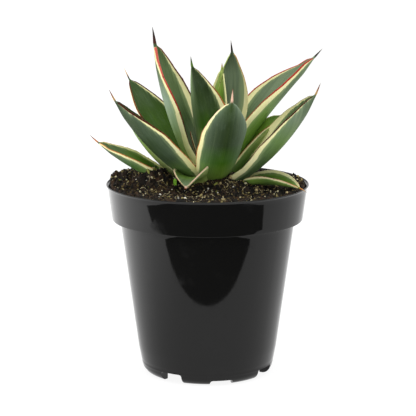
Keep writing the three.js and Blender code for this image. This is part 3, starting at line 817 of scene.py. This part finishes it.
def fibres(random, count):
    """Thin root hairs and straws.

    Square tubes along lines that bow sideways and lie on the soil, thinning to both ends.
    """
    steps = np.linspace(0, 1, FIBRE_STEPS)
    x, y = scattered(random, count, FIBRE_RADIUS)
    heading = random.uniform(0, 2 * np.pi, count)
    length = random.uniform(3, 11, count)
    bow = random.uniform(-0.3, 0.3, count) * length
    radius = random.uniform(0.1, 0.24, count)
    along, aside = (steps - 0.5) * length[:, None], 4 * steps * (1 - steps) * bow[:, None]
    c, s = np.cos(heading)[:, None], np.sin(heading)[:, None]
    line_x, line_y = x[:, None] + along * c - aside * s, y[:, None] + along * s + aside * c
    lift = random.uniform(-0.2, 1.2, count)[:, None] * np.sin(np.pi * steps)
    line_z = soil_height(line_x, line_y) + 0.3 + lift
    thin = radius[:, None] * np.sqrt(np.maximum(np.sin(np.pi * (0.04 + 0.92 * steps)), 0.05))
    around = np.arange(4) * np.pi / 2
    side = thin[..., None] * np.cos(around)
    points = np.stack(
        [
            line_x[..., None] - s[..., None] * side,
            line_y[..., None] + c[..., None] * side,
            line_z[..., None] + thin[..., None] * np.sin(around),
        ],
        -1,
    )
    corners = 4 * FIBRE_STEPS
    ends = [range(4), range(corners - 1, corners - 5, -1)]
    own = np.concatenate([grid_faces(FIBRE_STEPS, 4)[:, ::-1], ends])
    first = (np.arange(count) * corners)[:, None, None]
    return points.reshape(-1, 3), [(own + first).reshape(-1, 4)]


def on_soil(x, y, lift):
    """Places at a height above the soil's surface."""
    return np.stack([x, y, soil_height(x, y) + lift], 1)


def drawn_tones(random, tones, shares, count):
    """One of the colours for each of a count, drawn by their shares, and made up to 0.3 darker or lighter."""
    tone = linear(tones)[np.searchsorted(shares, random.uniform(0, 1, count))]
    return tone * random.uniform(0.7, 1.3, (count, 1))


def add_loose(name, surface, tones, material, crease):
    """Adds copies as one piece of the soil, with a colour for each copy."""
    points, face_sets = surface
    mesh = write_mesh(name, points, face_sets)
    write_attribute(mesh, "paint", np.repeat(tones, len(points) // max(len(tones), 1), 0))
    add_piece(name, mesh, material, crease=crease)


# Leaves


def direction(leaf, s):
    """The midrib's direction: level heading and rise both turn evenly from base to tip."""
    t = np.clip(s, 0, 1)
    rise = np.radians(leaf.rise_base + (leaf.rise_tip - leaf.rise_base) * t)
    heading = np.radians(leaf.heading + leaf.sweep * t)
    return np.stack([np.cos(rise) * np.cos(heading), np.cos(rise) * np.sin(heading), np.sin(rise)], -1)


def midrib(leaf, s):
    """Points of the midrib: from beside the stem by short steps along its direction, and straight past either end."""
    foot = round_axis(leaf.reach, np.radians(leaf.heading), leaf.height, (STEM.x, STEM.y))
    shares = np.linspace(0, 1, MIDRIB_STEPS + 1)
    moves = direction(leaf, shares[1:] - 0.5 / MIDRIB_STEPS) * leaf.length / MIDRIB_STEPS
    track = np.concatenate([[foot], foot + np.cumsum(moves, 0)])
    on_track = np.stack([np.interp(s, shares, track[:, k]) for k in range(3)], -1)
    past = (s - np.clip(s, 0, 1))[:, None] * leaf.length
    return on_track + past * direction(leaf, s)


def half_width(leaf, s):
    """Half the blade's width round its curve.

    A quarter sine up to the widest place and a quarter cosine down to the spine.
    """
    s = np.clip(s, 0, 1)
    grown = leaf.base + (1 - leaf.base) * np.sin(np.pi / 2 * s / leaf.widest)
    narrowed = np.cos(np.pi / 2 * np.clip((s - leaf.widest) / (1 - leaf.widest), 0, 1))
    return leaf.half_width * np.where(s < leaf.widest, grown, narrowed)


def section_columns():
    """The columns round a section, each with its place across u, its share of the depth, how far it bulges past the
    edge, and its angle on a round section: the inner face from edge to edge, a round edge, the outer face back, a
    round edge.
    """
    u = np.sin(np.pi / 2 * np.linspace(-1, 1, ACROSS))
    bulge = np.pi * np.array([0.25, 0.5, 0.75])
    depth = (1 - np.cos(bulge)) / 2
    none = np.zeros(ACROSS)
    return SimpleNamespace(
        u=np.concatenate([u, np.ones(3), u[::-1], -np.ones(3)]),
        depth=np.concatenate([none, depth, none + 1, depth[::-1]]),
        bulge=np.concatenate([none, np.sin(bulge), none, np.sin(bulge)]),
        round=np.radians(
            np.concatenate([75 * u, 75 + 30 * bulge / np.pi, 180 - 75 * u[::-1], -75 - 30 * bulge[::-1] / np.pi])
        ),
    )


def tooth_heights(random, leaf, look, along):
    """Height of the margin's teeth along one side: a peak for each tooth, spaced and sized unevenly."""
    spacing, height = look["teeth"]
    count = int(leaf.length * 0.86 / spacing)
    centre = (np.arange(count) + random.uniform(0.15, 0.85, count)) * spacing + 0.06 * leaf.length
    centre = np.round(centre / ROW_STEP) * ROW_STEP
    tall = height * random.uniform(0.45, 1.0, count) * (1 - 0.6 * (centre / leaf.length) ** 2)
    away = np.abs(along[:, None] - centre) / 1.1
    return (tall * np.clip(1 - away, 0, 1) ** 1.2).max(1)


def leaf_surface(leaf, look, settings, random):
    """A leaf's points and what they carry, on a grid of rows along s and columns round the section.

    A section's inner face is an arc of the blade's width, bent through the channel's angle; the outer face lies below
    it by a thickness that falls from the middle to the edge as (1 - u^2)^.7. From ROUND_FROM on the section turns
    round, and the spine tapers to a point as (1 - t)^.8. Teeth, swell and a slight wave move the margin out along the
    section's tangent, and a second wave moves it up and down.
    """
    share = leaf.spine / leaf.length
    blade = np.arange(-0.03 * leaf.length, leaf.length, ROW_STEP) / leaf.length
    s = np.concatenate([blade, 1 + share * (1 - np.linspace(1, 0, SPINE_ROWS) ** 1.4)])
    column = section_columns()
    u, size = column.u, np.abs(column.u)
    t = np.clip(s, 0, 1)
    tip = np.clip((s - 1) / share, 0, 1)
    half = np.hypot(half_width(leaf, s), look["slim"])
    radius = np.maximum(look["slim"] * (1 - tip) ** 0.8, 0.03)
    half = np.where(s < 1, half, radius)
    bend = np.radians(
        leaf.channel_mid
        + (leaf.channel_base - leaf.channel_mid) * (1 - t) ** 3
        + (leaf.channel_tip - leaf.channel_mid) * t**3
    )
    blade_thick = leaf.thick * (1 - 0.55 * t**0.8)
    middle = blade_thick + (2 * radius - blade_thick) * eased(s, THIN_FROM, 1)
    edge = np.minimum(EDGE, middle / 2)
    angle = u * bend[:, None]
    thick = edge[:, None] + (middle - edge)[:, None] * np.maximum(1 - u**2, 0) ** 0.7
    along = s * leaf.length
    fading = 1 - eased(s, *TEETH_FADE)
    teeth = np.stack([tooth_heights(random, leaf, look, along) for side in (0, 1)], 1) * fading[:, None]
    phase = random.uniform(0, 2 * np.pi, 4)
    wave = 0.11 * np.sin(along / 3.9 + phase[0]) + 0.08 * np.sin(along / 2.3 + phase[1])
    flutter = 0.2 * np.sin(along / 7.3 + phase[2]) + 0.12 * np.sin(along / 4.1 + phase[3])
    side = (u > 0).astype(int)
    near_edge = size**14
    swell = rows_along(look["swell"], t)[:, side] * (s < 1)[:, None]
    out = teeth[:, side] * settings.tooth_scale * near_edge + (wave * fading)[:, None] * size**8 + swell * size**2
    out = (out + column.bulge * edge[:, None] / 2) * np.sign(u)
    depth = column.depth * thick + (flutter * fading)[:, None] * size**5 * np.sign(u + 0.01)
    x = (half / bend)[:, None] * np.sin(angle) + depth * np.sin(angle) + out * np.cos(angle)
    z = (half / bend)[:, None] * (1 - np.cos(angle)) - depth * np.cos(angle) + out * np.sin(angle)
    rounding = eased(s, ROUND_FROM, 1)[:, None]
    x = x + (radius[:, None] * np.sin(column.round) - x) * rounding
    z = z + (radius[:, None] * np.cos(column.round) - middle[:, None] / 2 - z) * rounding
    forward = direction(leaf, s)
    heading = np.radians(leaf.heading + leaf.sweep * t)
    level = np.stack([np.sin(heading), -np.cos(heading), 0 * heading], -1)
    face = np.cross(level, forward)
    turn = np.radians(leaf.roll + leaf.twist * np.minimum(s, 1))[:, None]
    across = level * np.cos(turn) + face * np.sin(turn)
    inward = face * np.cos(turn) - level * np.sin(turn)
    z = z + (look["hook"] * tip**1.6)[:, None]
    points = midrib(leaf, s)[:, None] + across[:, None] * x[..., None] + inward[:, None] * z[..., None]

    # What the points carry
    rim_arc = np.abs(np.arcsin(np.clip(column.bulge, 0, 1)) - np.pi / 2) * (size == 1)
    on_face = column.bulge == 0
    from_margin = half[:, None] * (1 - size) + swell * (1 - size**2) + edge[:, None] * np.pi / 4
    from_edge = np.where(on_face, from_margin, rim_arc * edge[:, None] / 2)
    widths = rows_along(look["bands"], t) * settings.band_scale
    inner_width, outer_width = widths[:, side], widths[:, 2 + side]
    width = inner_width + (outer_width - inner_width) * column.depth
    lines = rows_along(look["lines"], t)[:, side] + 0.7 * teeth[:, side]
    shut = 12 * eased(s, *LINES_CLOSE)[:, None]
    line = lines - from_edge - shut
    band = width + np.minimum(width, lines) - from_edge - shut - 1.0 * (width == 0)
    veil = band + look["veil"] * np.minimum(width / 2.5, 1)

    def painted(words, t):
        return stops([getattr(settings, word) for word in words.split()], t)

    inner, outer = painted(look["inner"], t)[:, None], painted(look["outer"], t)[:, None]
    ground_and_sheen = inner + (outer - inner) * column.depth[:, None]
    # Painted sheen: towards margins a and b the ground turns to the pale colour named by rim, a highlight where light
    # grazes the flanks
    outer_sheen, inner_sheen = (np.array(look["flank_sheen"])[side + k] for k in (0, 2))
    flank_sheen = np.clip((inner_sheen + (outer_sheen - inner_sheen) * column.depth) * size**1.5, 0, 1)
    flank_sheen = flank_sheen[:, None] * eased(s, 0, 0.3)[:, None, None]
    ground_and_sheen = ground_and_sheen + (np.array(getattr(settings, look["rim"])) - ground_and_sheen) * flank_sheen
    spine_paint = painted(look["spine"], tip)[:, None]
    ground_and_sheen = ground_and_sheen + (spine_paint - ground_and_sheen) * eased(s, 1 - 2.2 / leaf.length, 1 + 0.3 / leaf.length)[:, None, None]
    edges = np.stack([painted(words, t) for words in look["edges"].split(",")], 1)[:, side]
    at_tooth = np.clip(teeth[:, side] / 0.35, 0, 1)[..., None] * near_edge[:, None]
    edges = edges + (np.array(getattr(settings, look["tooth"])) - edges) * at_tooth
    horn = np.maximum(eased(s, 1 - 2.0 / leaf.length, 1)[:, None], at_tooth[..., 0])
    grain = np.stack([half[:, None] * u, along[:, None] + 0 * u, 40 * column.depth + 0 * half[:, None]], -1)
    grain = grain + 200 * random.uniform(-1, 1, 3)
    rows, columns = x.shape
    near = np.arange(columns // 2 - 1)
    far = columns - 1 - near
    # Both ends are closed by a strip between the halves of their loop
    strip = np.stack([far, far - 1, near + 1, near], 1)
    last = (rows - 1) * columns
    faces = np.concatenate([grid_faces(rows, columns), strip, strip[:, ::-1] + last])
    # The ground colour carries the painted sheen along the flanks
    carried = {"ground_and_sheen_paint": ground_and_sheen, "edge_paint": edges, "grain": grain}
    carried.update(band=band, veil=veil, line=line, horn=horn)
    return points.reshape(-1, 3), faces, carried


def carry(mesh, carried, shape):
    """Writes what a grid's points carry, stretched to the grid where a value is the same along it."""
    for name, values in carried.items():
        wanted = (*shape, 3) if np.ndim(values) == 3 else shape
        flat = np.broadcast_to(values, wanted)
        write_attribute(mesh, name, flat.reshape(-1, 3) if len(wanted) == 3 else flat.ravel())


# Settings


def number_setting(label, description, default, most, **more):
    """A number from 0 to most that a user can change."""
    return FloatProperty(name=label, description=description, default=default, min=0, max=most, **more)


def count_setting(label, description, default, most):
    """A whole number from 0 to most that a user can change."""
    return IntProperty(name=label, description=description, default=default, min=0, max=most)


def colour_setting(label, description, default):
    """A colour in linear light that a user can change."""
    return FloatVectorProperty(
        name=label, description=description, default=default, subtype="COLOR", size=3, min=0, max=1
    )


def leaf_colour(name, shade):
    """A colour of the leaves, with its default in sRGB from 0 to 255."""
    label = name.capitalize()
    return colour_setting(label, f"{label} in the leaves", tuple(float(c) for c in linear(shade)))


class AgavePotSettings(bpy.types.PropertyGroup):
    """The pot's finish."""

    colour: colour_setting("Plastic", "Colour of the pot's plastic", (0.0058, 0.0058, 0.0056))
    roughness: number_setting("Roughness", "Roughness of the plastic where it isn't rubbed", 0.05, 1, subtype="FACTOR")


class AgaveLeafSettings(bpy.types.PropertyGroup):
    """The leaves' margins and colours."""

    tooth_scale: number_setting("Teeth", "Height of the teeth against the usual", 1, 3)
    band_scale: number_setting("Bands", "Width of the cream bands against the usual", 1, 3)


LEAF_COLOURS = {"bloom": (140, 160, 145), "veil": (150, 168, 118), **PALETTE}
AgaveLeafSettings.__annotations__.update({name: leaf_colour(name, shade) for name, shade in LEAF_COLOURS.items()})


class AgaveSoilSettings(bpy.types.PropertyGroup):
    """The soil's mix."""

    crumbs: count_setting("Crumbs", "Number of loose crumbs", 7000, 9000)
    chips: count_setting("Bark chips", "Number of bark chips", 1500, 3000)
    fibres: count_setting("Fibres", "Number of fibres and straws", 320, 2000)
    perlite: count_setting("Perlite", "Number of perlite grains, and of small stones and of scraps of litter", 34, 500)
    seed: count_setting("Seed", "Start of the random draws", 7, 9999)


class AgaveStageSettings(bpy.types.PropertyGroup):
    """Light and camera."""

    surround: number_setting("Surround", "Strength of the white surround", 1, 5)
    top_light: number_setting("Top light", "Power of the soft light overhead", 9, 1000, unit="POWER")
    left_glow: number_setting("Left glow", "Extra brightness of the floor at the left", 1, 3)
    side_light: number_setting("Side light", "Power of the soft light at the left", 7.5, 1000, unit="POWER")
    camera_distance: number_setting("Camera distance", "From the pot's axis to the camera", 1.5, 100, unit="LENGTH")
    camera_height: number_setting("Camera height", "Above the floor", 0.43, 100, unit="LENGTH")
    camera_pitch: number_setting("Camera pitch", "Turn down from level", math.radians(11.5), 1.5, unit="ROTATION")


# Operators


class AGAVE_OT_pot(bpy.types.Operator):
    """Build the nursery pot."""

    bl_idname = "agave.pot"
    bl_label = "Build pot"

    def execute(self, context):
        points, faces = pot_surface()
        mesh = write_mesh("pot_shell", points, faces)
        weld(mesh, 0.02, turn_outwards=True)
        add_piece("pot_shell", mesh, pot_plastic(context.scene.agave_pot), "pot", crease=32)
        return {"FINISHED"}


class AGAVE_OT_stem(bpy.types.Operator):
    """Build the short stem under the leaves."""

    bl_idname = "agave.stem"
    bl_label = "Build stem"

    def execute(self, context):
        """The section turned round the stem's axis, with a low ripple for each old leaf's scar."""
        shoulder = SOIL_Z - 2
        below = straight((STEM.foot_radius - 4, STEM.foot_z), (STEM.foot_radius, shoulder), 12)
        above = np.linspace((STEM.foot_radius, shoulder), (STEM.crown_radius, STEM.crown_z), 26)
        section = np.concatenate([[(0.02, STEM.foot_z)], below, above, [(0.02, STEM.crown_z + 1)]])
        turn = np.linspace(0, 2 * np.pi, 48, endpoint=False)
        ripple = np.where(section[:, 0] > 1, 0.25 * np.sin(section[:, 1] * 2.2), 0)[:, None]
        radius = section[:, :1] - 0.25 + ripple + 0.2 * np.sin(3 * turn + section[:, 1:] * 0.3)
        radius = np.maximum(radius, 0.02)
        points = round_axis(radius, turn, section[:, 1:], (STEM.x, STEM.y)).reshape(-1, 3)
        mesh = write_mesh("stem_core", points, [grid_faces(len(section), len(turn))])
        weld(mesh, 0.05, turn_outwards=True)
        add_piece("stem_core", mesh, stem_tissue(), "stem")
        return {"FINISHED"}


class AGAVE_OT_leaves(bpy.types.Operator):
    """Build all leaves with their margins, teeth and spines."""

    bl_idname = "agave.leaves"
    bl_label = "Build leaves"

    def execute(self, context):
        settings = context.scene.agave_leaves
        skin = leaf_skin(settings)
        for index, (name, row) in enumerate(LEAVES.items()):
            leaf = SimpleNamespace(**dict(zip(LEAF_FIELDS, row)))
            look = {**PLAIN, **LOOKS.get(name, {})}
            random = np.random.default_rng(LEAF_SEED + index)
            points, faces, carried = leaf_surface(leaf, look, settings, random)
            mesh = write_mesh(f"blade_{name}", points, [faces])
            carry(mesh, carried, carried["band"].shape)
            add_piece(f"blade_{name}", mesh, skin, f"leaf_{name}", crease=60)
        return {"FINISHED"}


class AGAVE_OT_soil(bpy.types.Operator):
    """Build the soil with its crumbs, bark, fibres, perlite and stones."""

    bl_idname = "agave.soil"
    bl_label = "Build soil"

    def execute(self, context):
        settings = context.scene.agave_soil
        random = np.random.default_rng(settings.seed)
        points, faces, shade = soil_surface()
        mesh = write_mesh("soil_bed", points, [faces])
        dark, light = linear((14, 12, 8)), linear((66, 46, 28))
        write_attribute(mesh, "paint", dark + (light - dark) * (shade**3)[:, None])
        weld(mesh, 0.03)
        peat = grit("peat", 0.95, 0.6, 0.7)
        add_piece("soil_bed", mesh, peat, "soil", crease=180)

        count = settings.crumbs
        x, y = scattered(random, count)
        size = random.uniform(0.35, 1.0, count) ** 2 * 1.15
        sizes = size[:, None] * random.uniform(0.6, 1.1, (count, 3))
        crumbs = copies(random, lump_shape(), on_soil(x, y, 0.35 * size), sizes, 90, 0.25)
        add_loose("soil_crumbs", crumbs, drawn_tones(random, *CRUMB_TONES, count), peat, 25)

        count = settings.chips
        x, y = scattered(random, count)
        long = random.uniform(0.5, 1.5, count) ** 2 * 0.62
        sizes = np.stack([long, long * random.uniform(0.25, 0.6, count), random.uniform(0.15, 0.4, count)], 1)
        chips = copies(random, chip_shape(), on_soil(x, y, 0.4 + 0.12 * long), sizes, 38, 0.22)
        bark = grit("bark", 0.8, 0.35, 0.4)
        add_loose("soil_bark", chips, drawn_tones(random, *BARK_TONES, count), bark, 25)

        count = settings.fibres
        straws = fibres(random, count)
        tones = linear(STRAW_TONES)[random.integers(0, 3, count)] * random.uniform(0.7, 1.2, (count, 1))
        add_loose("soil_fibres", straws, tones, grit("straw", 0.7, 0.25, 0.2), 50)

        for kind, own_size, colour, extra, shape, tilt in (
            ("perlite", (0.4, 0.9), (232, 228, 216), settings.perlite, (1, 1, 0.8), 90),
            ("stone", (0.5, 1.2), (188, 170, 122), settings.perlite, (1, 0.9, 0.8), 90),
            ("litter", (0.4, 1.0), (128, 132, 60), settings.perlite, (1.3, 0.6, 0.5), 60),
            ("shoot", (1.0, 1.0), (128, 186, 50), 0, (0.5, 0.35, 1.3), 10),
        ):
            x, y = scattered(random, extra, GRAIN_RADIUS)
            half = random.uniform(*own_size, extra)
            named = np.array([row[1:] for row in PEBBLES if row[0] == kind])
            x, y, half = (np.concatenate(pair) for pair in zip((x, y, half), (*named[:, :2].T, named[:, 2] / 2)))
            sizes = half[:, None] * np.array(shape) * random.uniform(0.75, 1.1, (len(half), 3))
            grains = copies(random, lump_shape(), on_soil(x, y, 0.55 * half), sizes, tilt, 0.16)
            tones = linear(colour) * random.uniform(0.8, 1.2, (len(half), 1))
            add_loose(f"soil_{kind}", grains, tones, grit(f"{kind}_grains", 0.8, 0.12, 0.3), 50)
        return {"FINISHED"}


class AGAVE_OT_stage(bpy.types.Operator):
    """Set up the white floor, the soft light and the camera."""

    bl_idname = "agave.stage"
    bl_label = "Set up stage"

    def execute(self, context):
        scene = context.scene
        settings = scene.agave_stage
        sheet = Shader("floor_white")
        # The floor is lit more brightly to the left, past the white that the camera shows
        beside = sheet.node("ShaderNodeSeparateXYZ", {"Vector": sheet.place()})
        strength = sheet.ramp(beside, -0.45, -0.06, FLOOR_GLOW + settings.left_glow, FLOOR_GLOW)
        glow = sheet.node("ShaderNodeEmission", {"Color": (1, 1, 1), "Strength": strength})
        matt = sheet.node("ShaderNodeBsdfDiffuse", {"Color": (0.14, 0.14, 0.14)})
        shader = sheet.node("ShaderNodeAddShader", {0: glow, 1: matt})
        sheet.node("ShaderNodeOutputMaterial", {"Surface": shader})
        corners = np.array([(-1, -1, 0), (1, -1, 0), (1, 1, 0), (-1, 1, 0)], float)
        self.put("floor", corners * FLOOR_HALF, sheet.material)
        # A black card that only reflections see gives the pot the dark patch of a studio's table edge
        card = Shader("card_black")
        card.surface(Base_Color=(0.0, 0.0, 0.0), Roughness=1.0, Specular_IOR_Level=0.0)
        corners = np.column_stack([CARD_EDGE, np.full(len(CARD_EDGE), CARD_Z)])
        black = self.put("card", corners, card.material)
        for kind in ("camera", "diffuse", "transmission", "volume_scatter", "shadow"):
            setattr(black, f"visible_{kind}", False)

        world = bpy.data.worlds.new("surround")
        world.use_nodes = True
        background = world.node_tree.nodes["Background"]
        background.inputs["Color"].default_value = (1, 1, 1, 1)
        background.inputs["Strength"].default_value = settings.surround
        scene.world = world
        self.soft_light("top_light", (1.1, 0.8), settings.top_light, (0.1, -0.25, 1.35), (-10, 4, 0))
        self.soft_light("side_light", (1.2, 2.0), settings.side_light, (-1.3, 0.35, 0.45), (0, -75, -15))

        lens = bpy.data.cameras.new("camera")
        lens.sensor_width = SENSOR
        lens.lens = SENSOR * PHOTO_FOCAL / PHOTO_WIDTH
        lens.clip_start, lens.clip_end = 0.05, 40
        camera = bpy.data.objects.new("camera", lens)
        camera.location = (0.00037, -settings.camera_distance, settings.camera_height)
        camera.rotation_euler = (math.pi / 2 - settings.camera_pitch, 0, 0)
        scene.collection.objects.link(camera)
        scene.camera = camera
        scene.view_settings.view_transform = "Standard"
        return {"FINISHED"}

    def soft_light(self, name, size, power, place, turn):
        lamp = bpy.data.lights.new(name, "AREA")
        lamp.shape = "RECTANGLE"
        lamp.size, lamp.size_y, lamp.energy = *size, power
        light = bpy.data.objects.new(name, lamp)
        light.location = place
        light.rotation_euler = [math.radians(angle) for angle in turn]
        light.visible_camera = False
        bpy.context.scene.collection.objects.link(light)

    def put(self, name, corners, material):
        mesh = write_mesh(name, corners, [np.arange(len(corners))[None]])
        mesh.materials.append(material)
        sheet = bpy.data.objects.new(name, mesh)
        bpy.context.scene.collection.objects.link(sheet)
        return sheet


class AGAVE_PT_panel(bpy.types.Panel):
    """Lists the pieces of the potted agave and their settings."""

    bl_idname = "AGAVE_PT_panel"
    bl_label = "Potted agave"
    bl_space_type = "VIEW_3D"
    bl_region_type = "UI"
    bl_category = "Agave"

    def draw(self, context):
        for (key, group), operators in zip(SETTINGS.items(), OPERATORS_BY_SETTING):
            box = self.layout.box()
            for operator in operators:
                box.operator(operator.bl_idname)
            for name in group.__annotations__:
                box.prop(getattr(context.scene, key), name)


SETTINGS = {
    "agave_pot": AgavePotSettings,
    "agave_leaves": AgaveLeafSettings,
    "agave_soil": AgaveSoilSettings,
    "agave_stage": AgaveStageSettings,
}
OPERATORS_BY_SETTING = ((AGAVE_OT_pot,), (AGAVE_OT_stem, AGAVE_OT_leaves), (AGAVE_OT_soil,), (AGAVE_OT_stage,))
CLASSES = (*SETTINGS.values(), *sum(OPERATORS_BY_SETTING, ()), AGAVE_PT_panel)


def register():
    for item in CLASSES:
        bpy.utils.register_class(item)
    for key, group in SETTINGS.items():
        setattr(bpy.types.Scene, key, PointerProperty(type=group))


def unregister():
    for key in SETTINGS:
        delattr(bpy.types.Scene, key)
    for item in reversed(CLASSES):
        bpy.utils.unregister_class(item)


def main():
    register()
    bpy.ops.agave.pot()
    bpy.ops.agave.stem()
    bpy.ops.agave.leaves()
    bpy.ops.agave.soil()
    bpy.ops.agave.stage()


if __name__ == "__main__":
    main()
